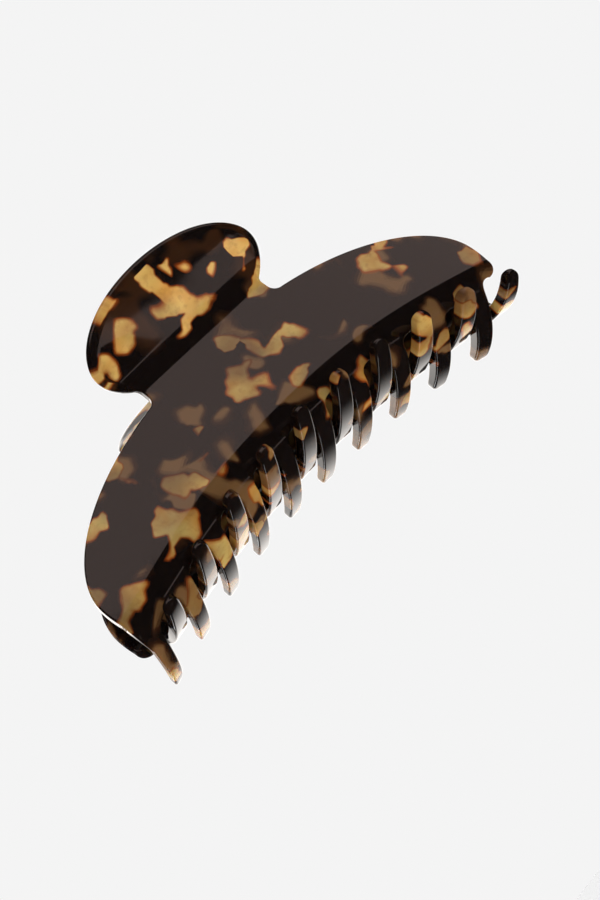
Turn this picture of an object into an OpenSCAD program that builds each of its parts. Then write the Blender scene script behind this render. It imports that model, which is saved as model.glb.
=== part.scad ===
// Claw clip cut from acetate sheet: two equal jaws on a sprung steel hinge.
// X runs along the clip, Y through it with the front jaw at -Y, Z up to the finger tabs.
// The lowest tooth touches z = 0. The rear jaw is the front jaw turned half a turn about Z.

/* [Jaws] */
// Length of the clip over the two ends of its comb
clip_length = 100.8; // [84:0.2:121]
// Distance between the middles of the two sheets at the hinge
jaw_gap = 19.8; // [18:0.2:24]
// Thickness of the acetate sheet
sheet_t = 2.5; // [2:0.1:3]
// How far each face bows in towards the hair at its ends
face_bow = 3.5; // [0:0.1:5]
// Height of the half-moon shoulder above the level where the ends are widest
shoulder_h = 22.2; // [18.5:0.1:27]

/* [Comb] */
// Width of a tooth at its root
tooth_w = 4; // [3.3:0.1:4.8]
// Width of a tooth where its tip starts to round
tooth_tip_w = 3.4; // [2.6:0.1:3.9]
// Width of the corner tooth at its root
corner_tooth_w = 3.2; // [2.8:0.1:3.8]
// Thickness of a tooth's tip as a share of the sheet's
tip_thin = 0.84; // [0.7:0.02:1]
// How much higher the middle of the comb is than its ends
comb_arch = 8.2; // [4:0.1:10]
// Reach of the middle teeth past the hinge plane
reach_middle = 17.3; // [14.5:0.1:21]
// Reach of the end teeth past the hinge plane
reach_end = 12.6; // [11:0.1:16]
// Bend radius at the root of the teeth, to the middle of the sheet
root_bend_r = 6; // [4:0.1:6.6]
// Curve radius along the middle teeth
tooth_r_middle = 60; // [45:1:80]
// Curve radius along the end teeth
tooth_r_end = 25; // [24:1:45]
// Height of a slot's top above the underside of the teeth
slot_h = 3.5; // [3:0.1:4.2]
// How far the rounded end of a slot runs down its sides
slot_round = 2; // [1:0.1:2.4]
// How much higher the bare corner's lower edge is than the slots' tops
corner_lift = 2.2; // [1:0.1:2.6]

/* [Neck and tab] */
// Width of the neck between shoulder and tab
neck_w = 32.4; // [28:0.2:36]
// Radius of the notch beside the neck
notch_r = 1.9; // [1.4:0.1:2.4]
// Straight length of the neck between the notch's two rounds
neck_straight = 1.6; // [0.6:0.1:3]
// Width of the finger tab
tab_w = 42.4; // [38:0.2:50]
// Flat length of the finger tab's ellipse
tab_len = 22.4; // [19:0.1:27]
// How far the tab leans outwards from upright, in degrees
tab_lean = 44; // [35:1:52]
// Bend radius between neck and tab, to the middle of the sheet
tab_bend_r = 8; // [4:0.1:9]
// How far the ends of the tab curl outwards
tab_cup = 0.5; // [0:0.1:1.4]

/* [Hinge] */
// Height of the hinge axis above the level where the ends are widest
hinge_up = 22; // [21:0.1:23]
// Thickness of the bracket steel
plate_t = 0.8; // [0.6:0.1:1]
// Width over the ears of the rear bracket, the inner one
inner_ears_w = 12; // [11:0.1:14.4]
// Gap between the ears of one bracket and those of the other
ear_gap = 0.15; // [0.1:0.05:0.3]
// Diameter of the hinge pin
pin_d = 2; // [1.6:0.1:2.2]
// Radial clearance of the pin in the ears
pin_clear = 0.05; // [0.03:0.01:0.1]
// Diameter of the spring wire
wire_d = 1.2; // [0.9:0.1:1.3]
// Mean diameter of the spring coil
coil_d = 5.6; // [5:0.1:6]
// Number of turns of the spring
turns = 6; // [4:1:6]
// Diameter of a mounting stud
stud_d = 1.6; // [1.2:0.1:2]

/* [Hidden] */
$fn = 64;
tortoise = [0.30, 0.16, 0.08];
steel = [0.72, 0.72, 0.74];

// jaw layout
half_len = clip_length/2;
pitch = clip_length/10.08;
x_first = -4.75*pitch;                    // middle of the corner tooth's place
function tooth_x(i) = x_first + i*pitch + (i == 0 ? (tooth_w - corner_tooth_w)/4 : 0);
function tooth_hw(i) = i == 0 ? corner_tooth_w/2 : tooth_w/2;
x_edge = -tooth_x(0) + tooth_hw(0);       // outer edge of the corner tooth
shoulder_z = comb_arch + 5;               // level where the ends are widest
hinge_z = shoulder_z + hinge_up;
flat_half = 9;                            // half width of the flat seat for the bracket

function sq(v) = v*v;
function bow(x) = face_bow*sq(max(0, abs(x) - flat_half)/(half_len - flat_half));
function face_y(x) = bow(x) - jaw_gap/2;
function part_way(x) = min(1, sq(x/x_edge));
function under_z(x) = comb_arch*(1 - sq(x/x_edge));
function tooth_r(x) = tooth_r_middle + (tooth_r_end - tooth_r_middle)*part_way(x);
function low_y(x) = 6 + 2.7*part_way(x);
function reach(x) = reach_middle + (reach_end - reach_middle)*part_way(x);
function root_turn(x) = acos((low_y(x) - face_y(x) - root_bend_r)/(tooth_r(x) - root_bend_r));
function bend_z(x) = max(under_z(x), -1) + sheet_t/2 + tooth_r(x)
                     - (tooth_r(x) - root_bend_r)*sin(root_turn(x));
function tip_turn(x) = 90 + asin((reach(x) - low_y(x))/tooth_r(x));
function root_len(x) = root_bend_r*root_turn(x)*PI/180;
function tooth_len(x) = root_len(x) + tooth_r(x)*(tip_turn(x) - root_turn(x))*PI/180;
// distance of a slot's top and of its straight sides below the start of the bend; the top is
// slot_h above the underside, on the root bend where that is tall enough, else on the tooth's curve
function slot_rise(x) = (bend_z(x) - max(under_z(x), -1) - slot_h)/(root_bend_r + sheet_t/2);
function slot_v(x) =
    slot_rise(x) <= sin(root_turn(x)) ? root_bend_r*PI/180*asin(slot_rise(x))
    : root_len(x) + tooth_r(x)*PI/180
      *(asin((tooth_r(x) + sheet_t/2 - slot_h)/(tooth_r(x) + sheet_t/2)) - root_turn(x));
function side_v(x) = slot_v(x) + slot_round;

// middle of the sheet as [y, z, outward normal y, outward normal z]:
// v runs down from the start of the bend, along the tooth to its tip
function comb_at(x, v) =
    let (c = bend_z(x), r = tooth_r(x), t = root_turn(x))
    v <= 0 ? [face_y(x), c - v, -1, 0]
    : v < root_len(x)
        ? let (a = v/root_bend_r*180/PI)
          [face_y(x) + root_bend_r*(1 - cos(a)), c - root_bend_r*sin(a), -cos(a), -sin(a)]
        : let (a = t + (v - root_len(x))/r*180/PI)
          [low_y(x) - r*cos(a), max(under_z(x), -1) + sheet_t/2 + r - r*sin(a), -cos(a), -sin(a)];
// share of the sheet's thickness left at v: the teeth thin towards their tips and their noses round off
function thick(x, v) =
    let (s = side_v(x), e = tooth_len(x), f = max(0, (v - s)/(e - s)), n = max(0, (v - e + tip_round)/tip_round))
    (1 - (1 - tip_thin)*f)*(1 - 0.34*pow(n, 4));

// outline of the flat sheet above the comb, as [half width, height along the sheet]
blend_z = shoulder_z + 5;
blend_rows = 4;
xn = neck_w/2 + notch_r;
body_end = acos(xn/half_len);
body_start = asin((blend_z - shoulder_z)/shoulder_h);
notch_z = shoulder_z + shoulder_h*sin(body_end) + notch_r;
notch_top = notch_z + neck_straight;
join_w = xn + notch_r*cos(130);
join_z = notch_top + notch_r*sin(130);
tab_turn = acos(join_w/(tab_w/2));
tab_z = join_z + tab_len/2*sin(tab_turn);
body_steps = 9;
notch_steps = 4;
tab_steps = 16;
outline = concat(
    [for (i = [1:body_steps]) let (a = body_start + (body_end - body_start)*i/body_steps)
        [half_len*cos(a), shoulder_z + shoulder_h*sin(a)]],
    [for (i = [1:notch_steps]) let (a = 270 - 90*i/notch_steps)
        [xn + notch_r*cos(a), notch_z + notch_r*sin(a)]],
    [for (i = [0:notch_steps]) let (a = 180 - 50*i/notch_steps)
        [xn + notch_r*cos(a), notch_top + notch_r*sin(a)]],
    [for (i = [1:tab_steps]) let (a = -tab_turn + (86 + tab_turn)*i/tab_steps)
        [tab_w/2*cos(a), tab_z + tab_len/2*sin(a)]]);
flare_z = notch_z + 3.9 - tab_bend_r*tan(tab_lean/2);   // the corner of the bend stays in place
flare_len = tab_bend_r*tab_lean*PI/180;
function shoulder_w(z) = half_len*sqrt(1 - sq((z - shoulder_z)/(z > shoulder_z ? shoulder_h : 1.5*shoulder_h)));

// middle of the sheet above the comb; s is the height measured along the sheet
function sheet_at(x, s) =
    s <= flare_z ? [face_y(x), s, -1, 0]
    : let (a = min(tab_lean, (s - flare_z)/tab_bend_r*180/PI),
           rest = max(0, s - flare_z - flare_len),
           cup = tab_cup*sq(x/(tab_w/2))*min(1, rest/6))
      [face_y(x) - tab_bend_r*(1 - cos(a)) - rest*sin(a) - cup*cos(a),
       flare_z + tab_bend_r*sin(a) + rest*cos(a) - cup*sin(a), -cos(a), -sin(a)];
function skin(x, m, h) = [x, m[0] + h*m[2], m[1] + h*m[3]];

// columns across the comb: [x, kind, place], kind 0 is a tooth, 1 a slot, 2 the bare corner
slot_at = [0.04, 0.18, 0.5, 0.82, 0.96];
end_w = shoulder_w(bend_z(half_len));      // half width where the bend starts
corner_w = end_w - tooth_x(9) - tooth_w/2;
corner_at = [0.04, 0.16, 0.4, 0.62, 0.8, 0.92, 1];
columns = concat(
    [for (i = [0:9]) for (k = concat([[-1, 0], [0, 0], [1, 0]],
                                     i < 9 ? [for (f = slot_at) [f, 1]] : []))
        let (r = tooth_x(i) + tooth_hw(i))
        [k[1] == 0 ? tooth_x(i) + k[0]*tooth_hw(i) : r + k[0]*(tooth_x(i + 1) - tooth_w/2 - r), k[1], k[0]]],
    [for (f = corner_at) [tooth_x(9) + tooth_w/2 + f*corner_w, 2, f]]);
NF = len(columns);
function slot_shape(u) = 1 - pow(1 - pow(min(1, abs(u)), 2.6), 1/2.6);
corner_r = 4.4;
function corner_v(x) = slot_v(x) - corner_lift;
function end_v(c) =
    c[1] == 0 ? side_v(c[0])
    : c[1] == 1 ? slot_v(c[0]) + slot_round*slot_shape(2*c[2] - 1)
    : c[2] < 0.45 ? corner_v(c[0]) + (slot_round + corner_lift)*slot_shape(1 - 2.2*min(0.45, c[2]))
    : let (d = max(0, c[0] - (end_w - corner_r))/corner_r)
      0.4 + (corner_v(c[0]) - 0.4)*sqrt(max(0, 1 - sq(d)));

// grid of the bend: RA steps down each column
RA = 5;
function strip_x(j, v) = j > 0 ? columns[j][0]
    : -end_w + (end_w - x_edge)*pow(min(1, v/side_v(-x_edge)), 1.4);
strip = [for (j = [0:NF-1]) for (r = [0:RA])
    let (v = end_v(columns[j])*r/RA, x = strip_x(j, v)) [x, comb_at(x, v), 1]];
function si(j, r) = j*(RA + 1) + r;

// grid of the teeth: three columns, KT rows below the slots
tip_round = 2.6;
along = [0.12, 0.25, 0.4, 0.55, 0.7, 0.85, 1];
round_at = [0.4, 0.7, 0.9, 1];
KT = len(along) + len(round_at);
function tooth_row(x, k) =
    let (v0 = side_v(x), v1 = tooth_len(x) - tip_round)
    k <= len(along)
        ? [v0 + (v1 - v0)*along[k - 1], 1 + (tooth_tip_w/tooth_w - 1)*along[k - 1]]
        : let (f = round_at[k - len(along) - 1]) [v1 + tip_round*f, tooth_tip_w/tooth_w*sqrt(1 - 0.9*sq(f))];
teeth = [for (i = [0:9]) for (k = [1:KT]) for (m = [-1:1])
    let (c = tooth_x(i), row = tooth_row(c, k), x = c + m*row[1]*tooth_hw(i))
    [x, comb_at(x, row[0]), thick(c, row[0])]];
T0 = NF*(RA + 1);
function ti(i, k, m) = k == 0 ? si(8*i + m, RA) : T0 + (i*KT + k - 1)*3 + m;

// grid of the face, neck and tab: columns at the ends, the tooth middles and the slot middles
coarse = concat([0], [for (i = [0:9]) each i < 9 ? [8*i + 1, 8*i + 5] : [8*i + 1]], [NF - 4, NF - 1]);
NC = len(coarse);
function blend_end(q) = bend_z(half_len) + (blend_z - bend_z(half_len))*q/blend_rows;
NR = blend_rows + len(outline);
upper = [for (q = [1:NR]) for (j = [0:NC-1])
    let (w = q <= blend_rows ? shoulder_w(blend_end(q)) : outline[q - blend_rows - 1][0],
         u = (coarse[j] == 0 ? -end_w : columns[coarse[j]][0])/end_w,
         x = w*u)
    q <= blend_rows
        ? [x, [face_y(x), bend_z(x) + (blend_z - bend_z(x))*q/blend_rows, -1, 0], 1]
        : [x, sheet_at(x, outline[q - blend_rows - 1][1]), 1]];
U0 = T0 + 30*KT;
function ui(q, j) = q == 0 ? si(coarse[j], 0) : U0 + (q - 1)*NC + j;

grid = concat(strip, teeth, upper);
NP = len(grid);
jaw_points = concat([for (g = grid) skin(g[0], g[1], g[2]*sheet_t/2)],
                    [for (g = grid) skin(g[0], g[1], -g[2]*sheet_t/2)]);
function pair(a, b, c, d) = [[a, b, c], [a, c, d]];
outer = concat(
    [for (j = [0:NF-2]) for (r = [0:RA-1])
        each pair(si(j, r), si(j + 1, r), si(j + 1, r + 1), si(j, r + 1))],
    [for (i = [0:9]) for (k = [0:KT-1]) for (m = [0:1])
        each pair(ti(i, k, m), ti(i, k, m + 1), ti(i, k + 1, m + 1), ti(i, k + 1, m))],
    [for (j = [0:NC-2]) each concat(
        [for (f = [coarse[j]:coarse[j + 1]-1]) [ui(1, j), si(f + 1, 0), si(f, 0)]],
        [[ui(1, j), ui(1, j + 1), si(coarse[j + 1], 0)]])],
    [for (q = [1:NR-1]) for (j = [0:NC-2])
        each pair(ui(q + 1, j), ui(q + 1, j + 1), ui(q, j + 1), ui(q, j))]);
rim = concat(
    [for (r = [0:RA-1]) si(0, r)],
    [for (i = [0:9]) each concat(
        [for (k = [0:KT]) ti(i, k, 0)], [ti(i, KT, 1)],
        [for (k = [KT:-1:0]) ti(i, k, 2)],
        i < 9 ? [for (n = [3:7]) si(8*i + n, RA)] : [for (n = [3:9]) si(8*i + n, RA)])],
    [for (r = [RA-1:-1:0]) si(NF - 1, r)],
    [for (q = [1:NR]) ui(q, NC - 1)],
    [for (j = [NC-2:-1:0]) ui(NR, j)],
    [for (q = [NR-1:-1:1]) ui(q, 0)]);
NE = len(rim);
// the fan beside each bend column winds the same way as the rest
jaw_faces = concat(
    [for (f = outer) fan(f) ? [f[0], f[2], f[1]] : f],
    [for (f = outer) fan(f) ? [f[0] + NP, f[1] + NP, f[2] + NP] : [f[0] + NP, f[2] + NP, f[1] + NP]],
    [for (n = [0:NE-1]) let (a = rim[n], b = rim[(n + 1) % NE]) each [[a, b + NP, b], [a, a + NP, b + NP]]]);
function fan(f) = f[0] >= U0 && f[1] < T0 && f[2] < T0;

// hinge
inner_y = jaw_gap/2 - sheet_t/2;          // inner face of a jaw at the hinge
plate_y = inner_y - plate_t;
plate_up = 5;
plate_down = 9;
ear_r = pin_d/2 + 1.6;
outer_ears_w = inner_ears_w + 2*(plate_t + ear_gap);
pin_reach = outer_ears_w/2 + 0.1;
head_r = pin_d/2 + 0.9;
stud_x = 3.4;
stud_z = hinge_z - 6.4;
stud_deep = sheet_t*0.65;
bore_r = pin_d/2 + pin_clear;

module bore_x(r, z, len) { translate([-len/2, 0, z]) rotate([0, 90, 0]) cylinder(r = r, h = len); }

// Flat sheet, comb and tab of one jaw, bent to shape, with two blind seats for its studs
module jaw() {
    difference() {
        polyhedron(points = jaw_points, faces = jaw_faces, convexity = 12);
        for (s = [-1, 1]) translate([s*stud_x, -inner_y + 0.2, stud_z]) rotate([90, 0, 0])
            cylinder(r = stud_d/2 + 0.02, h = stud_deep + 0.3);
    }
}
module front_jaw() { color(tortoise) jaw(); }
module rear_jaw() { color(tortoise) rotate([0, 0, 180]) jaw(); }

// Steel channel folded from one blank: a plate with a pair of ears
function arc(cx, cy, r, a0, a1, n = 8) =
    [for (i = [0:n]) let (a = a0 + (a1 - a0)*i/n) [cx + r*cos(a), cy + r*sin(a)]];
module fold(hw, y0, y1, r)
    polygon(concat([[hw, y1], [-hw, y1]], arc(-hw + r, y0 + r, r, 180, 270), arc(hw - r, y0 + r, r, 270, 360)));
module ear_side() {
    top = [-plate_y - 0.1, plate_up - 1];
    low = [-plate_y - 0.1, -plate_down + 3.5];
    tt = atan2(top[1], top[0]) - acos(ear_r/norm(top));
    lt = atan2(low[1], low[0]) + 360 + acos(ear_r/norm(low));
    polygon(concat([[-inner_y - 1, -plate_down], [-plate_y + 0.5, -plate_down], [-plate_y + 0.5, low[1]]],
                   arc(0, 0, ear_r, lt - 360, tt, 24),
                   [[-plate_y + 0.5, top[1]], [-plate_y + 0.5, plate_up], [-inner_y - 1, plate_up]]));
}
module bracket(w) {
    difference() {
        intersection() {
            translate([0, 0, hinge_z - plate_down - 1])
                linear_extrude(plate_down + plate_up + 2) difference() {
                    fold(w/2, -inner_y, ear_r + 1, 1.2);
                    fold(w/2 - plate_t, -plate_y, ear_r + 2, 0.5);
                }
            translate([-w/2 - 1, 0, hinge_z]) rotate([90, 0, 90]) linear_extrude(w + 2) ear_side();
        }
        bore_x(bore_r, hinge_z, w + 4);
        for (s = [-1, 1]) translate([s*stud_x, -inner_y + plate_t + 1, stud_z]) rotate([90, 0, 0])
            cylinder(r = stud_d/2 + 0.04, h = plate_t + 2);
    }
}
module front_bracket() { color(steel) bracket(outer_ears_w); }
module rear_bracket() { color(steel) rotate([0, 0, 180]) bracket(inner_ears_w); }

// Headed pin through all four ears, and the cap pushed on its other end
cap_len = 1.9;
module hinge_pin() {
    color(steel) translate([0, 0, hinge_z]) rotate([0, 90, 0]) rotate_extrude()
        polygon([[0, -pin_reach - 1], [head_r - 0.5, -pin_reach - 1], [head_r, -pin_reach - 0.6],
                 [head_r, -pin_reach], [pin_d/2, -pin_reach], [pin_d/2, pin_reach + cap_len - 0.8],
                 [pin_d/2 - 0.25, pin_reach + cap_len - 0.55], [0, pin_reach + cap_len - 0.55]]);
}
module pin_cap() {
    color(steel) translate([0, 0, hinge_z]) rotate([0, 90, 0]) difference() {
        rotate_extrude() polygon([[0, pin_reach], [head_r, pin_reach], [head_r, pin_reach + cap_len - 0.6],
                                  [head_r - 0.5, pin_reach + cap_len], [0, pin_reach + cap_len]]);
        translate([0, 0, pin_reach - 1]) cylinder(r = pin_d/2 + 0.01, h = cap_len - 0.5 + 1);
    }
}

// Torsion spring: leg up to the front bracket, coil round the pin, leg up to the rear bracket
leg_y = plate_y - wire_d/2 - 0.05;
leg_z = plate_up - 0.9;
leg_at = atan2(leg_z, -leg_y);
coil_r = coil_d/2;
leg_from = leg_at - acos(coil_r/norm([leg_y, leg_z]));
coil_turn = 360*turns - (180 - 2*leg_from);
coil_len = min((inner_ears_w - 2*plate_t - wire_d - 0.6), turns*(wire_d + 0.25));
coil_steps = turns*20;
wire_path = concat(
    [[-coil_len/2, -leg_y, leg_z]],
    [for (i = [0:coil_steps]) let (a = leg_from - coil_turn*i/coil_steps)
        [-coil_len/2 + coil_len*i/coil_steps, coil_r*cos(a), coil_r*sin(a)]],
    [[coil_len/2, leg_y, leg_z]]);
WN = len(wire_path);
WS = 10;
function unit(v) = v/norm(v);
function wire_dir(i) = unit(wire_path[min(WN - 1, i + 1)] - wire_path[max(0, i - 1)]);
wire_points = [for (i = [0:WN-1]) let (t = wire_dir(i), e = unit(cross(t, [1, 0, 0])), g = cross(t, e))
    for (k = [0:WS-1]) wire_path[i] + wire_d/2*(cos(k*360/WS)*e + sin(k*360/WS)*g) + [0, 0, hinge_z]];
wire_faces = concat(
    [for (i = [0:WN-2]) for (k = [0:WS-1]) let (n = (k + 1) % WS)
        each [[i*WS + k, i*WS + n, (i + 1)*WS + n], [i*WS + k, (i + 1)*WS + n, (i + 1)*WS + k]]],
    [[for (k = [WS-1:-1:0]) k]], [[for (k = [0:WS-1]) (WN - 1)*WS + k]]);
module torsion_spring() {
    color(steel) polyhedron(points = wire_points, faces = wire_faces, convexity = 8);
}

// Studs set into the acetate, two to a bracket
module stud_pair() {
    for (s = [-1, 1]) translate([s*stud_x, -plate_y, stud_z]) rotate([90, 0, 0]) rotate_extrude()
        polygon([[0, -0.6], [stud_d/2 + 0.3, -0.6], [stud_d/2 + 0.7, -0.25], [stud_d/2 + 0.7, 0],
                 [stud_d/2, 0], [stud_d/2, plate_t + stud_deep - 0.1], [0, plate_t + stud_deep - 0.1]]);
}
module front_studs() { color(steel) stud_pair(); }
module rear_studs() { color(steel) rotate([0, 0, 180]) stud_pair(); }

front_jaw();
rear_jaw();
front_bracket();
rear_bracket();
hinge_pin();
pin_cap();
torsion_spring();
front_studs();
rear_studs();
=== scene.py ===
import bpy
import math
import numpy as np
from mathutils import Matrix, Vector
from mathutils.geometry import delaunay_2d_cdt

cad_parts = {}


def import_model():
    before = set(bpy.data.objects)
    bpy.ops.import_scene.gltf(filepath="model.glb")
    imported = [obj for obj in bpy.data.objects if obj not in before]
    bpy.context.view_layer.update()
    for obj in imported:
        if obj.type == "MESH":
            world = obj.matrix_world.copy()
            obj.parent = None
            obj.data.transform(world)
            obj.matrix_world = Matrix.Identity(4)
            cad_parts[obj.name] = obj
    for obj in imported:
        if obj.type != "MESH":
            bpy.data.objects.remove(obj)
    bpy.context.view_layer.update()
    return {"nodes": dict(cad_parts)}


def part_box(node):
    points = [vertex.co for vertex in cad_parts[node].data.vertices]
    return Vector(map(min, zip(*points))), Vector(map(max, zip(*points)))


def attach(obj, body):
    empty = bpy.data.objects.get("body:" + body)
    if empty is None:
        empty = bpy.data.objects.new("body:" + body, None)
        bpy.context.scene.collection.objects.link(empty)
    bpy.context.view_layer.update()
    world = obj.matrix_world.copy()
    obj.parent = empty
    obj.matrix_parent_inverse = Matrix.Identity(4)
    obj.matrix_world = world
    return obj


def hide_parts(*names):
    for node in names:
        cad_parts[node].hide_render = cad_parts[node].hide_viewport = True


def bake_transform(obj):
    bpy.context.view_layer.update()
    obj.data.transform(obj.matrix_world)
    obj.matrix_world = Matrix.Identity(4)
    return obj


# Tortoiseshell acetate claw clip: two bent sheet jaws on a sprung steel hinge.
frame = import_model()
rad, deg = math.radians, math.degrees
MM = 0.001


def box_mm(node):
    """Lower and upper corner of a CAD node, in millimetres."""
    return [np.array(corner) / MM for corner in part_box(node)]


# ---------------------------------------------------------------- sizes, in millimetres
HINGE_Z = sum(box_mm("hinge_pin"))[2] / 2
HALF_LEN = box_mm("front_jaw")[1][0]
JAW_GAP = 19.8                               # between the middles of the sheets at the hinge
SHEET = 2 * (JAW_GAP / 2 + box_mm("front_bracket")[0][1])   # the bracket seats on the inner face

# the face is flat in the middle and bows in towards the hair at its ends
FACE_BOW, FLAT_HALF = 3.5, 9.0
COMB_ARCH, COMB_LOWEST = 8.2, -1.0
SHOULDER_Z = COMB_ARCH + 5                   # level where the half-moon is widest
SHOULDER_H = 22.2
LOWER_H = 1.5 * SHOULDER_H                   # the slower curve below that level

# teeth: ten, a quarter of a pitch off centre so that the two combs interleave
TEETH = 10
PITCH = HALF_LEN / 5.04
TOOTH_0 = -4.75 * PITCH
TOOTH_W, TOOTH_TIP_W, CORNER_TOOTH_W = 4.0, 3.4, 3.2
TIP_THIN, TIP_DOME, TIP_ROUND = 0.84, 0.34, 2.6
REACH_MIDDLE, REACH_END = 17.3, 12.6         # past the hinge plane
LOW_Y, LOW_Y_MORE = 6.0, 2.7                 # where a tooth is lowest; more at the ends
ROOT_R = 6.0
TOOTH_R_MIDDLE, TOOTH_R_END = 60.0, 25.0
SLOT_H, SLOT_ROUND = 3.5, 2.0
CORNER_LIFT, CORNER_R, CORNER_DROP = 2.2, 4.4, 0.4
BARE_ROUND = 0.4545                          # share of the bare corner that rounds into its edge
END_SWEEP = 1.4                              # how the side runs into the first tooth
ROUND_POINTS, TIP_SQUARE, SLOT_SQUARE = 9, 2.3, 2.6

NECK_W, NOTCH_R, NECK_STRAIGHT = 32.4, 1.9, 1.6
NOTCH_END = rad(130)                         # where the notch's upper round meets the tab
TAB_W, TAB_LEN, TAB_R = 42.4, 22.4, 8.0
TAB_TILT = rad(44.0)
TAB_CORNER = 3.9                             # corner of neck and tab above the notch's middle
TAB_CUP, TAB_CUP_RUN = 0.5, 6.0

EDGE_R = 0.42                                # rounding left by tumbling
TIP_EDGE_R = 0.62                            # tooth tips and the tab's rim wear rounder
TAB_EDGE_R = 1.9
WEAR_BORDER = 1.2
BLEND_PASSES = 12
RIM_FILL = 0.88                              # most of the half sheet that a rounding takes
RIM_STEPS = 4
STOCK_SHIFT = 0.31                           # metres of stock between the two jaws' blanks


def tooth_x(i):
    """Middle of a tooth along the clip; number 0 is the narrow corner tooth."""
    return TOOTH_0 + i * PITCH + ((TOOTH_W - CORNER_TOOTH_W) / 4 if i == 0 else 0)


def tooth_hw(i):
    """Half width of a tooth at its root."""
    return (CORNER_TOOTH_W if i == 0 else TOOTH_W) / 2


X_EDGE = -tooth_x(0) + tooth_hw(0)

# ---------------------------------------------------------------- the bent sheet


def face_y(x):
    past_flat = max(0.0, abs(x) - FLAT_HALF) / (HALF_LEN - FLAT_HALF)
    return FACE_BOW * past_flat ** 2 - JAW_GAP / 2


def part_way(x):
    """0 at the middle teeth, 1 at the end teeth."""
    return min(1.0, (x / X_EDGE) ** 2)


def under_z(x):
    """Underside of the comb."""
    return max(COMB_LOWEST, COMB_ARCH * (1 - (x / X_EDGE) ** 2))


def tooth_r(x):
    return TOOTH_R_MIDDLE + (TOOTH_R_END - TOOTH_R_MIDDLE) * part_way(x)


def low_y(x):
    return LOW_Y + LOW_Y_MORE * part_way(x)


def reach(x):
    return REACH_MIDDLE + (REACH_END - REACH_MIDDLE) * part_way(x)


def root_turn(x):
    """Turn of the root bend, up to where it runs into the tooth's own curve."""
    return math.acos((low_y(x) - face_y(x) - ROOT_R) / (tooth_r(x) - ROOT_R))


def bend_z(x):
    """Level where the face starts to bend into the comb."""
    return (under_z(x) + SHEET / 2 + tooth_r(x)
            - (tooth_r(x) - ROOT_R) * math.sin(root_turn(x)))


def root_len(x):
    return ROOT_R * root_turn(x)


def tooth_len(x):
    tip_turn = math.pi / 2 + math.asin((reach(x) - low_y(x)) / tooth_r(x))
    return root_len(x) + tooth_r(x) * (tip_turn - root_turn(x))


def slot_v(x):
    """Distance of a slot's top below the start of the bend."""
    rise = (bend_z(x) - under_z(x) - SLOT_H) / (ROOT_R + SHEET / 2)
    if rise <= math.sin(root_turn(x)):
        return ROOT_R * math.asin(rise)
    r = tooth_r(x)
    turn = math.asin((r + SHEET / 2 - SLOT_H) / (r + SHEET / 2))
    return root_len(x) + r * (turn - root_turn(x))


def side_v(x):
    return slot_v(x) + SLOT_ROUND


END_W = HALF_LEN * math.sqrt(1 - ((bend_z(HALF_LEN) - SHOULDER_Z) / LOWER_H) ** 2)


def shoulder_w(z):
    """Half width of the half-moon at a level."""
    h = SHOULDER_H if z > SHOULDER_Z else LOWER_H
    return HALF_LEN * math.sqrt(max(0.0, 1 - ((z - SHOULDER_Z) / h) ** 2))


XN = NECK_W / 2 + NOTCH_R
BODY_END = math.acos(XN / HALF_LEN)
NOTCH_Z = SHOULDER_Z + SHOULDER_H * math.sin(BODY_END) + NOTCH_R
NOTCH_TOP = NOTCH_Z + NECK_STRAIGHT
JOIN_W = XN + NOTCH_R * math.cos(NOTCH_END)
JOIN_Z = NOTCH_TOP + NOTCH_R * math.sin(NOTCH_END)
TAB_TURN = math.acos(JOIN_W / (TAB_W / 2))
TAB_Z = JOIN_Z + TAB_LEN / 2 * math.sin(TAB_TURN)
FLARE_Z = NOTCH_Z + TAB_CORNER - TAB_R * math.tan(TAB_TILT / 2)


def half_sheet(x, h):
    """Half thickness of the sheet, which thins along a tooth and over its tip."""
    v = bend_z(x) - h
    if v <= 0:
        return SHEET / 2
    start, end = side_v(x), tooth_len(x)
    along = min(1.0, max(0.0, (v - start) / (end - start)))
    over_tip = min(1.0, max(0.0, (v - end + TIP_ROUND) / TIP_ROUND))
    return SHEET / 2 * ((1 - (1 - TIP_THIN) * along) * (1 - TIP_DOME * over_tip ** 4))


def middle(x, h):
    """Middle of the sheet at x and at height h along it, with its outward normal in Y and Z."""
    bz = bend_z(x)
    if h >= bz:
        if h <= FLARE_Z:
            return face_y(x), h, -1.0, 0.0
        a = min(TAB_TILT, (h - FLARE_Z) / TAB_R)
        rest = max(0.0, h - FLARE_Z - TAB_R * TAB_TILT)
        cup = TAB_CUP * (x / (TAB_W / 2)) ** 2 * min(1.0, rest / TAB_CUP_RUN)
        ca, sa = math.cos(a), math.sin(a)
        return (face_y(x) - TAB_R * (1 - ca) - rest * sa - cup * ca,
                FLARE_Z + TAB_R * sa + rest * ca - cup * sa, -ca, -sa)
    v = bz - h
    if v < root_len(x):
        a = v / ROOT_R
        ca, sa = math.cos(a), math.sin(a)
        return face_y(x) + ROOT_R * (1 - ca), bz - ROOT_R * sa, -ca, -sa
    r = tooth_r(x)
    a = root_turn(x) + (v - root_len(x)) / r
    ca, sa = math.cos(a), math.sin(a)
    return low_y(x) - r * ca, under_z(x) + SHEET / 2 + r - r * sa, -ca, -sa


def place(x, h, w):
    """Point at share w of the half thickness, from -1 on the inner face to 1 on the outer."""
    y, z, ny, nz = middle(x, h)
    t = half_sheet(x, h) * w
    return np.array((x, y + t * ny, z + t * nz))


def facing(x, h, w):
    """True outward normal of the layer at w."""
    e = 0.02
    dx = place(x + e, h, w) - place(x - e, h, w)
    dh = place(x, h + e, w) - place(x, h - e, w)
    n = np.cross(dx, dh)
    return n / np.linalg.norm(n)


# ---------------------------------------------------------------- outline of the flat blank


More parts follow.
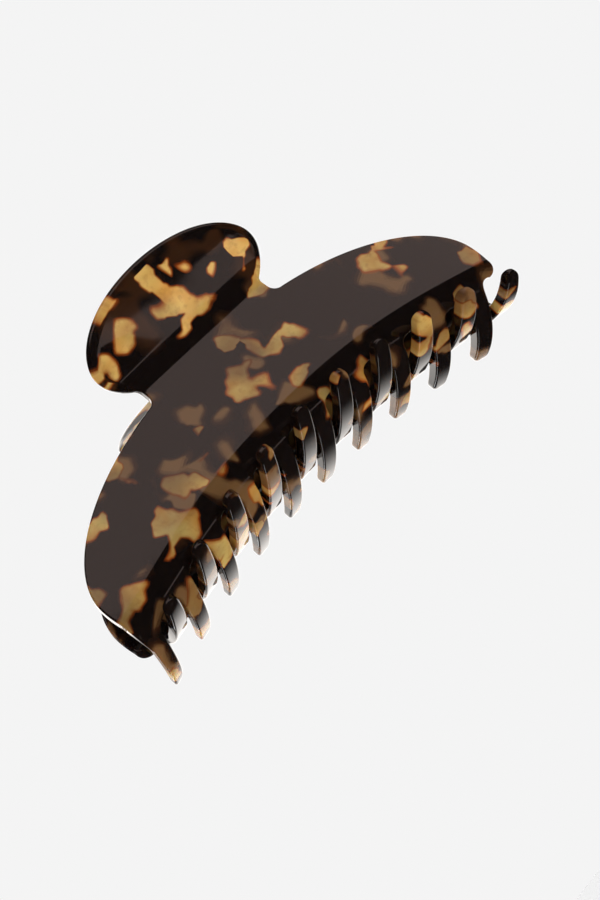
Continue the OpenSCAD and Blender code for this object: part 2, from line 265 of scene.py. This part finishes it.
def arc(cx, cy, rx, ry, start, end, step=0.35):
    """Points along part of an ellipse, from one angle in degrees to another."""
    n = max(3, int(abs(rad(end - start)) * max(rx, ry) / step))
    turns = [rad(start + (end - start) * i / n) for i in range(n + 1)]
    return [(cx + rx * math.cos(a), cy + ry * math.sin(a)) for a in turns]


def upper_side():
    """Right side of the blank from the bend up to the top of the tab."""
    z0 = bend_z(END_W)
    rows = 10
    levels = [z0 + (SHOULDER_Z - z0) * i / rows for i in range(rows)]
    pts = [(shoulder_w(z), z) for z in levels]
    pts += arc(0, SHOULDER_Z, HALF_LEN, SHOULDER_H, 0, deg(BODY_END), 0.8)
    pts += arc(XN, NOTCH_Z, NOTCH_R, NOTCH_R, 270, 180)[1:]
    pts += arc(XN, NOTCH_TOP, NOTCH_R, NOTCH_R, 180, deg(NOTCH_END))
    pts += arc(0, TAB_Z, TAB_W / 2, TAB_LEN / 2, -deg(TAB_TURN), 90, 0.5)[1:]
    return pts


def round_end(square):
    """Quarter of a squared-off ellipse from (0, 1) to (1, 0)."""
    turns = [math.pi / 2 * i / ROUND_POINTS for i in range(ROUND_POINTS + 1)]
    return [(math.sin(t) ** (2 / square), math.cos(t) ** (2 / square)) for t in turns]


def tooth_side(i, side):
    """Side of a tooth, root to middle of tip, as (x, distance below the bend)."""
    c, hw = tooth_x(i), tooth_hw(i)
    v0, v1 = side_v(c), tooth_len(c) - TIP_ROUND
    taper = TOOTH_TIP_W / TOOTH_W
    rows = 24
    pts = [(c + side * hw * (1 + (taper - 1) * k / rows), v0 + (v1 - v0) * k / rows)
           for k in range(rows)]
    pts += [(c + side * hw * taper * w, v1 + TIP_ROUND * d) for d, w in round_end(TIP_SQUARE)]
    return pts


def slot(left, right):
    """Rounded top of the slot between two teeth."""
    m, half = (left + right) / 2, (right - left) / 2
    q = round_end(SLOT_SQUARE)
    pts = [(m - half * u, slot_v(m - half * u) + SLOT_ROUND * (1 - w)) for w, u in q][1:]
    pts += [(m + half * u, slot_v(m + half * u) + SLOT_ROUND * (1 - w)) for u, w in q][1:-1]
    return pts


def bare_corner(root):
    """Lower edge from the last tooth's root out to the end that has no tooth."""
    half = BARE_ROUND * (END_W - root)
    rise = SLOT_ROUND + CORNER_LIFT
    pts = [(root + half * (1 - u), slot_v(root) - CORNER_LIFT + rise * (1 - w))
           for w, u in round_end(SLOT_SQUARE)][1:]
    steps = 14
    for k in range(1, steps + 1):
        t = math.pi / 2 * k / steps
        x = END_W - CORNER_R + CORNER_R * math.sin(t)
        if x > root + half + 0.2:
            pts.append((x, CORNER_DROP + (slot_v(x) - CORNER_LIFT - CORNER_DROP) * math.cos(t)))
    return pts


def comb():
    """Lower edge of the blank from the left end to the right end."""
    rows = 10
    s = side_v(-X_EDGE)
    downs = [s * k / rows for k in range(rows)]
    pts = [(-END_W + (END_W - X_EDGE) * (v / s) ** END_SWEEP, v) for v in downs]
    for i in range(TEETH):
        pts += tooth_side(i, -1) + tooth_side(i, 1)[::-1][1:]
        root = tooth_x(i) + tooth_hw(i)
        if i < TEETH - 1:
            pts += slot(root, tooth_x(i + 1) - tooth_hw(i + 1))
        else:
            pts += bare_corner(root)
    return [(x, bend_z(x) - v) for x, v in pts]


def tidy_loop(pts, gap=0.16):
    """The outline without points that almost coincide."""
    out = [pts[0]]
    for p in pts[1:]:
        if math.dist(p, out[-1]) > gap:
            out.append(p)
    if math.dist(out[0], out[-1]) < gap:
        out.pop()
    return out


# ---------------------------------------------------------------- the jaw's mesh


def edge_radii(outline):
    """Rounding of the rim at each point of the outline, blended where it changes."""
    below = np.array([bend_z(x) - h for x, h in outline])
    tip = np.array([tooth_len(x) - TIP_ROUND for x in outline[:, 0]])
    radii = np.where(outline[:, 1] > NOTCH_TOP + WEAR_BORDER, TAB_EDGE_R,
                     np.where(below > tip - WEAR_BORDER, TIP_EDGE_R, EDGE_R))
    for _ in range(BLEND_PASSES):
        radii = (np.roll(radii, 1) + radii * 2 + np.roll(radii, -1)) / 4
    return radii


def inner_points(inset):
    """Points inside the blank: close rows where it bends, wider on the flats."""
    cand = []
    for x in np.arange(-HALF_LEN, HALF_LEN, 1.6):
        bz = bend_z(x)
        cand += [(x, bz - v) for v in np.arange(0, side_v(x) + 1, 0.55)]
        cand += [(x, h) for h in np.arange(bz + 1.6, FLARE_Z, 2.2)]
        if abs(x) < TAB_W / 2:
            cand += [(x, FLARE_Z + k * 0.5) for k in range(14)]
            cand += [(x, h) for h in np.arange(FLARE_Z + 7.5, TAB_Z + TAB_LEN / 2, 1.5)]
    for i in range(TEETH):
        for dx in (-0.9, 0.0, 0.9):
            x = tooth_x(i) + dx
            cand += [(x, bend_z(x) - v) for v in np.arange(side_v(x), tooth_len(x), 0.9)]
    a, b = inset, np.roll(inset, -1, 0)
    d = b - a
    least, least_to_rim = 0.3, 0.32
    keep = []
    for p in np.array(cand):
        if keep and np.min(np.hypot(*(np.array(keep) - p).T)) < least:
            continue
        t = np.clip(((p - a) * d).sum(1) / (d * d).sum(1), 0, 1)
        gap = np.min(np.hypot(*(p - a - d * t[:, None]).T))
        cross = ((a[:, 1] > p[1]) != (b[:, 1] > p[1]))
        rise = np.where(cross, b[:, 1] - a[:, 1], 1)
        xs = a[:, 0] + (p[1] - a[:, 1]) * (b[:, 0] - a[:, 0]) / rise
        if gap > least_to_rim and np.count_nonzero(cross & (p[0] < xs)) % 2:
            keep.append(tuple(p))
    return keep


def triangulate(flat, rim):
    """Triangles of the flat blank inside its rim, which is the first points of flat."""
    sides = [(i, (i + 1) % rim) for i in range(rim)]
    got = delaunay_2d_cdt([Vector(p) for p in flat], sides, [], 1, 1e-7)
    spots, tris, origin = got[0], got[2], got[3]
    assert len(spots) == len(flat), (len(spots), len(flat))
    tris = [[origin[k][0] for k in t] for t in tris]

    def turned(t):
        first, second, third = (flat[k] for k in t)
        return np.cross(np.subtract(second, first), np.subtract(third, first)) <= 0

    return [t[::-1] if turned(t) else t for t in tris]


def jaw_mesh(name, turn):
    """Jaw with rounded edges as one closed mesh; turn=True gives the one turned half a turn."""
    side = upper_side()
    outline = np.array(tidy_loop(comb() + side + [(-x, h) for x, h in side[::-1]][1:]))
    n = len(outline)
    tang = np.roll(outline, -1, 0) - np.roll(outline, 1, 0)
    tang /= np.linalg.norm(tang, axis=1, keepdims=True)
    inward = np.stack([-tang[:, 1], tang[:, 0]], 1)
    edge_r = edge_radii(outline)
    inset = outline + inward * edge_r[:, None]
    flat = [tuple(p) for p in inset] + inner_points(inset)
    tris = triangulate(flat, n)

    pos, nor, pat = [], [], []

    def add(point, normal, x, h, w):
        pos.append(point)
        nor.append(normal)
        pat.append((x, h, w * SHEET / 2))
        return len(pos) - 1

    def rim_point(i, angle, face):
        """Point on the rounded rim; face is 1 on the outer half and -1 on the inner."""
        x, h = outline[i]
        half = half_sheet(x, h)
        r = min(edge_r[i], half * RIM_FILL)
        s, c = math.sin(angle), math.cos(angle)
        q = inset[i] + (outline[i] - inset[i]) * s
        w = (half - r * (1 - c)) / half * face
        up = facing(*q, w)
        along = place(*(q + tang[i] * 0.05), w) - place(*(q - tang[i] * 0.05), w)
        out = np.cross(along / np.linalg.norm(along), up)
        normal = out * s / edge_r[i] + up * c / r * face
        return add(place(*q, w), normal / np.linalg.norm(normal), x, h, w)

    outer = [add(place(x, h, 1), facing(x, h, 1), x, h, 1) for x, h in flat]
    inner = [add(place(x, h, -1), -facing(x, h, -1), x, h, -1) for x, h in flat]
    faces = tris + [[inner[k] for k in t[::-1]] for t in tris]
    turns = [rad(90 * k / RIM_STEPS) for k in range(1, RIM_STEPS + 1)]
    rings = [outer[:n]]
    rings += [[rim_point(i, a, 1) for i in range(n)] for a in turns]
    rings += [[rim_point(i, a, -1) for i in range(n)] for a in turns[::-1]]
    rings.append(inner[:n])
    for r0, r1 in zip(rings, rings[1:]):
        for i in range(n):
            j = (i + 1) % n
            faces.append([r0[i], r1[i], r1[j], r0[j]])

    pos, nor, pat = np.array(pos) * MM, np.array(nor), np.array(pat) * MM
    if turn:
        pos[:, :2] *= -1
        nor[:, :2] *= -1
        pat[:, 0] += STOCK_SHIFT
    me = bpy.data.meshes.new(name)
    me.from_pydata(pos.tolist(), [], faces)
    me.polygons.foreach_set("use_smooth", [True] * len(me.polygons))
    at = me.attributes.new("blank", "FLOAT_VECTOR", "POINT")
    at.data.foreach_set("vector", pat.ravel())
    me.normals_split_custom_set_from_vertices(nor.tolist())
    me.update()
    ob = bpy.data.objects.new(name, me)
    bpy.context.scene.collection.objects.link(ob)
    return ob


# ---------------------------------------------------------------- materials


class Nodes:
    """Small helper for building a material's node tree."""

    def __init__(self, name):
        self.mat = bpy.data.materials.new(name)
        self.mat.use_nodes = True
        self.tree = self.mat.node_tree
        self.tree.nodes.clear()
        self.out = self.new("ShaderNodeOutputMaterial")

    def new(self, kind, **props):
        node = self.tree.nodes.new(kind)
        for k, v in props.items():
            setattr(node, k, v)
        return node

    def set(self, node, **values):
        self.feed([node.inputs[k.replace("_", " ")] for k in values], values.values())
        return node

    def link(self, a, b):
        self.tree.links.new(a, b)

    def feed(self, sockets, values):
        for sock, v in zip(sockets, values):
            if isinstance(v, bpy.types.NodeSocket):
                self.link(v, sock)
            else:
                sock.default_value = v

    def math(self, op, a, b, clamp=False):
        node = self.new("ShaderNodeMath", operation=op, use_clamp=clamp)
        self.feed(node.inputs, (a, b))
        return node.outputs[0]

    def vec(self, op, a, b):
        node = self.new("ShaderNodeVectorMath", operation=op)
        self.feed(node.inputs, (a, b))
        return node.outputs[0]

    def scaled(self, a, scale):
        node = self.new("ShaderNodeVectorMath", operation="SCALE")
        self.feed((node.inputs[0], node.inputs["Scale"]), (a, scale))
        return node.outputs[0]

    def ramp(self, fac, stops):
        """Colour ramp; a stop's value is a colour, or one number for a grey."""
        node = self.new("ShaderNodeValToRGB")
        cr = node.color_ramp
        while len(cr.elements) < len(stops):
            cr.elements.new(0.5)
        for el, (p, col) in zip(cr.elements, stops):
            el.position = p
            el.color = (*col, 1) if isinstance(col, tuple) else (col, col, col, 1)
        self.link(fac, node.inputs[0])
        return node.outputs[0]

    def mix(self, fac, a, b):
        node = self.new("ShaderNodeMix", data_type="RGBA")
        a, b = ((*v, 1) if isinstance(v, tuple) else v for v in (a, b))
        self.feed((node.inputs[0], node.inputs[6], node.inputs[7]), (fac, a, b))
        return node.outputs[2]


SOFT_RINGS = ((1.0, 0.0), (0.55, 0.5))       # radius and turn of each ring of spots in a border
TAB_FROM, TAB_FADE = 0.032, 125.0            # metres up the blank where the tab's share starts: clearer stock, plus painted light that draws the tab brighter than the shaded body


def tortoiseshell():
    """Dark acetate with chips of honey set through it, some at the surface and some deeper."""
    t = Nodes("tortoiseshell_acetate")
    blank = t.new("ShaderNodeAttribute", attribute_name="blank").outputs["Vector"]
    flat = t.vec("MULTIPLY", blank, (1, 1, 0))

    def noise(vector, scale, detail=1.0, out="Fac", **more):
        node = t.new("ShaderNodeTexNoise")
        return t.set(node, Vector=vector, Scale=scale, Detail=detail, **more).outputs[out]

    spots = [(0, 0)] + [(r * math.cos(a), r * math.sin(a)) for r, turned in SOFT_RINGS
                        for a in (math.tau * (k + turned) / 6 for k in range(6))]

    def chips(offset, cell, turn, least, blur):
        """Share of each spot that lies in a chip, averaged over rings for a soft border."""
        p = t.set(t.new("ShaderNodeVectorRotate", rotation_type="Z_AXIS"),
                  Vector=flat, Angle=turn).outputs[0]
        p = t.vec("ADD", p, offset)
        wob = t.vec("SUBTRACT", noise(p, 240.0, 1.5, "Color"), (0.5, 0.5, 0.5))
        p = t.vec("ADD", p, t.scaled(wob, 0.0011))
        spread = t.math("MULTIPLY", t.math("POWER", noise(p, 110.0), 2.0), blur * 4)
        total = None
        for x, y in spots:
            spot = t.vec("ADD", p, t.scaled((x, y, 0), spread))
            cells = t.new("ShaderNodeTexVoronoi", feature="F1", distance="CHEBYCHEV",
                          voronoi_dimensions="2D")
            t.set(cells, Vector=spot, Scale=1 / cell, Randomness=1.0)
            draw = t.new("ShaderNodeSeparateColor")
            t.link(cells.outputs["Color"], draw.inputs[0])
            over = t.math("SUBTRACT", draw.outputs[0], least)
            hit = t.math("MULTIPLY", over, 40.0, clamp=True)
            total = hit if total is None else t.math("ADD", total, hit)
        return t.math("DIVIDE", total, float(len(spots)))

    # where chips crowd together, and the tab's share: clearer stock with more chips, plus painted
    # light, the tab brighter as if lit from behind and the body duller as if shaded by the rear
    # jaw
    up = t.new("ShaderNodeSeparateXYZ")
    t.link(blank, up.inputs[0])
    clear = t.math("MULTIPLY", t.math("SUBTRACT", up.outputs["Y"], TAB_FROM), TAB_FADE, clamp=True)
    crowd = t.math("MULTIPLY", t.math("SUBTRACT", noise(flat, 55.0), 0.5), 0.9)
    crowd = t.math("ADD", crowd, t.math("MULTIPLY", clear, 0.08))
    near = chips((0.107, 0.213, 0.0), 0.0038, 0.6, t.math("SUBTRACT", 0.82, crowd), 0.0004)
    deep = chips((0.391, 0.057, 0.0), 0.0042, 1.1, t.math("SUBTRACT", 0.79, crowd), 0.0008)
    faint = t.math("SUBTRACT", 1.0, t.math("MULTIPLY", clear, 0.55))

    # honey of the chips, with cloud and fine grain in it, and painted shade that makes it duller
    # off the tab
    grain = noise(flat, 700.0, 3.0, Roughness=0.6)
    cloud = noise(t.vec("ADD", flat, (0.2, 0.1, 0.0)), 170.0, 2.0)
    honey = t.mix(t.ramp(cloud, [(0.35, 0), (0.65, 1)]), (0.78, 0.42, 0.095), (0.95, 0.72, 0.230))
    honey = t.mix(t.ramp(grain, [(0.5, 0), (0.75, 0.5)]), honey, (0.50, 0.22, 0.06))
    # painted shade: off the tab the honey is mixed three tenths towards dark brown
    honey = t.mix(clear, t.mix(0.30, honey, (0.22, 0.065, 0.014)), honey)

    # dark ground, the deep chips' brown in it, then the near chips with an orange fringe
    ground = t.ramp(t.math("MULTIPLY", deep, faint), [
        (0.0, (0.0085, 0.0052, 0.0045)),
        (0.45, (0.045, 0.017, 0.007)),
        (1.0, (0.22, 0.115, 0.046))])
    fringe = t.ramp(near, [(0.02, 0), (0.42, 1)])
    core = t.ramp(near, [(0.36, 0), (0.95, 1)])
    sink = t.ramp(noise(t.vec("ADD", flat, (0.7, 0.3, 0.0)), 85.0), [(0.40, 0.22), (0.60, 1)])
    # random sinking of the chips, plus painted light: on the tab the chips are lifted brighter, as
    # if lit from behind
    sink_and_tab_glow = t.mix(clear, sink, t.mix(0.6, sink, (1, 1, 1)))
    body = t.mix(fringe, ground, t.mix(sink_and_tab_glow, (0.085, 0.026, 0.008), (0.42, 0.085, 0.012)))
    body = t.mix(core, body, t.mix(sink_and_tab_glow, (0.20, 0.105, 0.042), honey))

    # hand-polished surface: slight swell, fine scuffs
    bump = t.new("ShaderNodeBump")
    t.set(bump, Strength=0.04, Distance=0.0002, Height=noise(blank, 90.0))
    rough = t.ramp(noise(blank, 900.0, 3.0), [(0.35, 0.04), (0.75, 0.075)])
    sh = t.new("ShaderNodeBsdfPrincipled")
    t.set(sh, Base_Color=body, Roughness=rough, Normal=bump.outputs[0], IOR=1.5,
          Subsurface_Weight=0.6, Subsurface_Radius=(0.0030, 0.0014, 0.0005), Subsurface_Scale=1.0)
    t.link(sh.outputs[0], t.out.inputs[0])
    return t.mat


def steel(name, color, rough, grain_scale, grain_dir, bump_strength):
    """Plated steel with grain drawn out along the axis whose share in grain_dir is smallest."""
    t = Nodes(name)
    pos = t.new("ShaderNodeTexCoord").outputs["Object"]
    grain = t.set(t.new("ShaderNodeTexNoise"), Vector=t.vec("MULTIPLY", pos, grain_dir),
                  Scale=grain_scale, Detail=4.0, Roughness=0.6).outputs["Fac"]
    stain = t.set(t.new("ShaderNodeTexNoise"), Vector=pos, Scale=400.0, Detail=3.0).outputs["Fac"]
    tarnished = tuple(c * 0.82 for c in color)
    col = t.mix(t.ramp(stain, [(0.35, 0), (0.7, 1)]), color, tarnished)
    rr = t.ramp(grain, [(0.3, rough * 0.7), (0.7, rough * 1.4)])
    bump = t.new("ShaderNodeBump")
    t.set(bump, Strength=bump_strength, Distance=0.00005, Height=grain)
    sh = t.new("ShaderNodeBsdfPrincipled")
    t.set(sh, Base_Color=col, Roughness=rr, Metallic=1.0, Normal=bump.outputs[0])
    t.link(sh.outputs[0], t.out.inputs[0])
    return t.mat


def wear(ob, mat):
    """Give a piece its one material."""
    ob.data.materials.clear()
    ob.data.materials.append(mat)


# ---------------------------------------------------------------- hinge spring


WIRE_D, COIL_D, COIL_TURNS = 1.2, 5.6, 6
LEG_RISE = 4.1                               # height of the legs' ends above the pin
TURN_STEPS, WIRE_SIDES = 28, 14


def spring():
    """Coil round the pin with one straight leg against each bracket, swept by a node tree."""
    lo, hi = box_mm("torsion_spring")
    coil_len = (hi[0] - lo[0]) - WIRE_D
    coil_r = COIL_D / 2
    leg_y = hi[1] - WIRE_D / 2
    leg_from = math.atan2(LEG_RISE, leg_y) + math.acos(coil_r / math.hypot(leg_y, LEG_RISE))
    # the front leg leaves the top of the coil towards -Y, the rear leg towards +Y
    start = math.pi - leg_from
    sweep = 2 * math.pi * COIL_TURNS - (math.pi - 2 * start)
    pts = [(-coil_len / 2, -leg_y, LEG_RISE)]
    steps = COIL_TURNS * TURN_STEPS
    for i in range(steps + 1):
        a = start - sweep * i / steps
        x = -coil_len / 2 + coil_len * i / steps
        pts.append((x, coil_r * math.cos(a), coil_r * math.sin(a)))
    pts.append((coil_len / 2, leg_y, LEG_RISE))
    cu = bpy.data.curves.new("spring_path", "CURVE")
    cu.dimensions = "3D"
    sp = cu.splines.new("POLY")
    sp.points.add(len(pts) - 1)
    for p, co in zip(sp.points, pts):
        p.co = (co[0] * MM, co[1] * MM, (co[2] + HINGE_Z) * MM, 1)
    path = bpy.data.objects.new("spring_path", cu)
    bpy.context.scene.collection.objects.link(path)

    ng = bpy.data.node_groups.new("wound_wire", "GeometryNodeTree")
    ng.interface.new_socket("Geometry", in_out="INPUT", socket_type="NodeSocketGeometry")
    wire = ng.interface.new_socket("Wire Diameter", in_out="INPUT", socket_type="NodeSocketFloat")
    sides = ng.interface.new_socket("Sides", in_out="INPUT", socket_type="NodeSocketInt")
    metal = ng.interface.new_socket("Metal", in_out="INPUT", socket_type="NodeSocketMaterial")
    ng.interface.new_socket("Geometry", in_out="OUTPUT", socket_type="NodeSocketGeometry")
    N = ng.nodes.new
    gin, gout = N("NodeGroupInput"), N("NodeGroupOutput")
    half = N("ShaderNodeMath")
    half.operation = "MULTIPLY"
    half.inputs[1].default_value = 0.5
    ring, tube = N("GeometryNodeCurvePrimitiveCircle"), N("GeometryNodeCurveToMesh")
    smooth = N("GeometryNodeSetShadeSmooth")
    real, setm = N("GeometryNodeRealizeInstances"), N("GeometryNodeSetMaterial")
    L = ng.links.new
    L(gin.outputs["Wire Diameter"], half.inputs[0])
    L(half.outputs[0], ring.inputs["Radius"])
    L(gin.outputs["Sides"], ring.inputs["Resolution"])
    L(gin.outputs["Geometry"], tube.inputs["Curve"])
    L(ring.outputs["Curve"], tube.inputs["Profile Curve"])
    tube.inputs["Fill Caps"].default_value = True
    L(tube.outputs[0], smooth.inputs["Geometry"])
    L(smooth.outputs[0], real.inputs[0])
    L(real.outputs[0], setm.inputs["Geometry"])
    L(gin.outputs["Metal"], setm.inputs["Material"])
    L(setm.outputs[0], gout.inputs[0])
    mod = path.modifiers.new("wound_wire", "NODES")
    mod.node_group = ng
    mod[wire.identifier] = WIRE_D * MM
    mod[sides.identifier] = WIRE_SIDES
    mod[metal.identifier] = SPRING_STEEL
    graph = bpy.context.evaluated_depsgraph_get()
    me = bpy.data.meshes.new_from_object(path.evaluated_get(graph))
    me.name = "hinge_spring"
    bpy.data.objects.remove(path)
    ob = bpy.data.objects.new("hinge_spring", me)
    bpy.context.scene.collection.objects.link(ob)
    return ob, coil_len


# ---------------------------------------------------------------- stage, light and camera
PALE = 0.905                                 # the surround as the eye sees it
SWEEP_AXIS = (0.320, 0.879, 0.353)           # middle of the bright sweep behind the clip
SWEEP_EDGE = 0.47                            # cosine of its half angle
SWEEP_GLOSS = (0.64, 0.93)                   # cosines between which it fades in, in gloss
SWEEP_GLOW = 2.0
SWEEP_TINT = (1.0, 0.955, 0.91)
DARK_ROOM = 0.012
FILL_BELOW, FILL_ABOVE = 0.92, 0.26
WARM = (1.0, 0.77, 0.71)
FLOOR_R, FLOOR_SIDES, FLOOR_Z = 40.0, 96, -0.32


def panel(name, centre, target, width, height, strength, tint=(1, 1, 1)):
    """Glowing rectangle that lights the clip and shows in its gloss, unseen by the camera."""
    me = bpy.data.meshes.new(name)
    w, h = width / 2, height / 2
    me.from_pydata([(-w, -h, 0), (w, -h, 0), (w, h, 0), (-w, h, 0)], [], [(0, 1, 2, 3)])
    ob = bpy.data.objects.new(name, me)
    bpy.context.scene.collection.objects.link(ob)
    d = (Vector(target) - Vector(centre)).normalized()
    ob.matrix_world = Matrix.Translation(centre) @ d.to_track_quat("Z", "Y").to_matrix().to_4x4()
    m = bpy.data.materials.new(name)
    m.use_nodes = True
    m.node_tree.nodes.clear()
    o = m.node_tree.nodes.new("ShaderNodeOutputMaterial")
    e = m.node_tree.nodes.new("ShaderNodeEmission")
    e.inputs[0].default_value = (*tint, 1)
    e.inputs[1].default_value = strength
    m.node_tree.links.new(e.outputs[0], o.inputs[0])
    me.materials.append(m)
    ob.visible_camera = False
    ob.visible_shadow = False
    ob.visible_diffuse = False


def floor():
    """Wide pale disc below the clip."""
    turns = [math.tau * k / FLOOR_SIDES for k in range(FLOOR_SIDES)]
    rim = [(FLOOR_R * math.cos(a), FLOOR_R * math.sin(a), FLOOR_Z) for a in turns]
    me = bpy.data.meshes.new("floor")
    me.from_pydata(rim, [], [tuple(range(FLOOR_SIDES))])
    ob = bpy.data.objects.new("floor", me)
    bpy.context.scene.collection.objects.link(ob)
    m = bpy.data.materials.new("pale_floor")
    m.use_nodes = True
    sh = m.node_tree.nodes["Principled BSDF"]
    sh.inputs["Base Color"].default_value = (0.97, 0.97, 0.97, 1)
    sh.inputs["Roughness"].default_value = 1.0
    sh.inputs["Specular IOR Level"].default_value = 0.0
    me.materials.append(m)
    ob.visible_glossy = False


def world():
    """Pale surround for the eye; for light and gloss a bright sweep behind the clip, else dim."""
    w = bpy.data.worlds.new("studio")
    bpy.context.scene.world = w
    w.use_nodes = True
    nt = w.node_tree
    nt.nodes.clear()
    N, L = nt.nodes.new, nt.links.new

    def glow(strength, tint=(1, 1, 1)):
        bg = N("ShaderNodeBackground")
        bg.inputs[0].default_value = (*tint, 1)
        bg.inputs[1].default_value = strength
        return bg.outputs[0]

    def mix(fac, a, b):
        m = N("ShaderNodeMixShader")
        L(fac, m.inputs[0])
        L(a, m.inputs[1])
        L(b, m.inputs[2])
        return m.outputs[0]

    ray = N("ShaderNodeLightPath").outputs
    towards = N("ShaderNodeVectorMath")
    towards.operation = "DOT_PRODUCT"
    direction = N("ShaderNodeTexCoord").outputs["Generated"]
    L(direction, towards.inputs[0])
    towards.inputs[1].default_value = SWEEP_AXIS
    height = N("ShaderNodeSeparateXYZ")
    L(direction, height.inputs[0])

    def spread(value, low, high):
        m = N("ShaderNodeMapRange")
        m.interpolation_type = "SMOOTHSTEP"
        L(value, m.inputs["Value"])
        m.inputs["From Min"].default_value, m.inputs["From Max"].default_value = low, high
        return m.outputs[0]

    near_sweep = towards.outputs["Value"]
    gloss = mix(spread(near_sweep, *SWEEP_GLOSS), glow(DARK_ROOM), glow(SWEEP_GLOW, SWEEP_TINT))
    fill = mix(spread(height.outputs["Z"], -0.5, 0.5), glow(FILL_BELOW), glow(FILL_ABOVE))
    soft = mix(spread(near_sweep, SWEEP_EDGE - 0.02, SWEEP_EDGE + 0.02), fill, glow(SWEEP_GLOW))
    light = mix(ray["Is Glossy Ray"], soft, gloss)
    L(mix(ray["Is Camera Ray"], light, glow(PALE)), N("ShaderNodeOutputWorld").inputs[0])


CAMERA_TURN, CAMERA_TILT, CAMERA_ROLL = rad(-20.0), rad(-20.65), rad(-52.26)
CAMERA_FAR, LENS = 241.68, 51.42
AIM_Z, AIM_RIGHT, AIM_UP = 10.2, 2.53, 0.77  # the point looked at, then the frame's shift off it


def camera():
    """Camera below and in front of the clip, rolled so that the clip lies across the frame."""
    back = Vector((math.sin(CAMERA_TURN) * math.cos(CAMERA_TILT),
                   -math.cos(CAMERA_TURN) * math.cos(CAMERA_TILT), math.sin(CAMERA_TILT)))
    level = Vector((0, 0, 1)).cross(back).normalized()
    plumb = back.cross(level)
    right = math.cos(CAMERA_ROLL) * level + math.sin(CAMERA_ROLL) * plumb
    up = -math.sin(CAMERA_ROLL) * level + math.cos(CAMERA_ROLL) * plumb
    aim = Vector((0, 0, AIM_Z)) - AIM_RIGHT * right - AIM_UP * up
    cam = bpy.data.cameras.new("camera")
    cam.lens = LENS
    cam.clip_start = 0.01
    ob = bpy.data.objects.new("camera", cam)
    axes = Matrix((right, up, back)).transposed().to_4x4()
    ob.matrix_world = Matrix.Translation((CAMERA_FAR * back + aim) * MM) @ axes
    bpy.context.scene.collection.objects.link(ob)
    bpy.context.scene.camera = ob


# ---------------------------------------------------------------- assembly
ACETATE = tortoiseshell()
PLATE_STEEL = steel("nickel_plated_plate", (0.62, 0.60, 0.56), 0.24, 900.0, (0.15, 1, 1), 0.25)
PIN_STEEL = steel("nickel_plated_pin", (0.70, 0.69, 0.66), 0.14, 700.0, (1, 1, 1), 0.1)
SPRING_STEEL = steel("drawn_spring_wire", (0.50, 0.49, 0.47), 0.28, 1200.0, (1, 0.3, 0.3), 0.2)

for body in ("front", "rear"):
    jaw = jaw_mesh(f"{body}_jaw_sheet", turn=body == "rear")
    wear(jaw, ACETATE)
    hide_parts(f"{body}_jaw")
    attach(jaw, body)

coil, coil_len = spring()
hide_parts("torsion_spring")
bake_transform(coil)

for node in ("front_bracket", "rear_bracket"):
    wear(frame["nodes"][node], PLATE_STEEL)
for node in ("hinge_pin", "pin_cap", "front_studs", "rear_studs"):
    wear(frame["nodes"][node], PIN_STEEL)

world()
floor()
panel("key_softbox", (0.36, -0.72, 0.55), (0.36, 0.0, 0.55), 1.9, 0.50, 1.12, WARM)
panel("edge_strip", (-0.32, 0.79, -0.29), (0, 0, 0.01), 0.07, 0.80, 4.0)
panel("tab_strip", (0.30, -0.40, -0.62), (0, -0.02, 0.045), 0.55, 0.045, 0.9, WARM)
camera()
bpy.context.scene.view_settings.view_transform = "Standard"
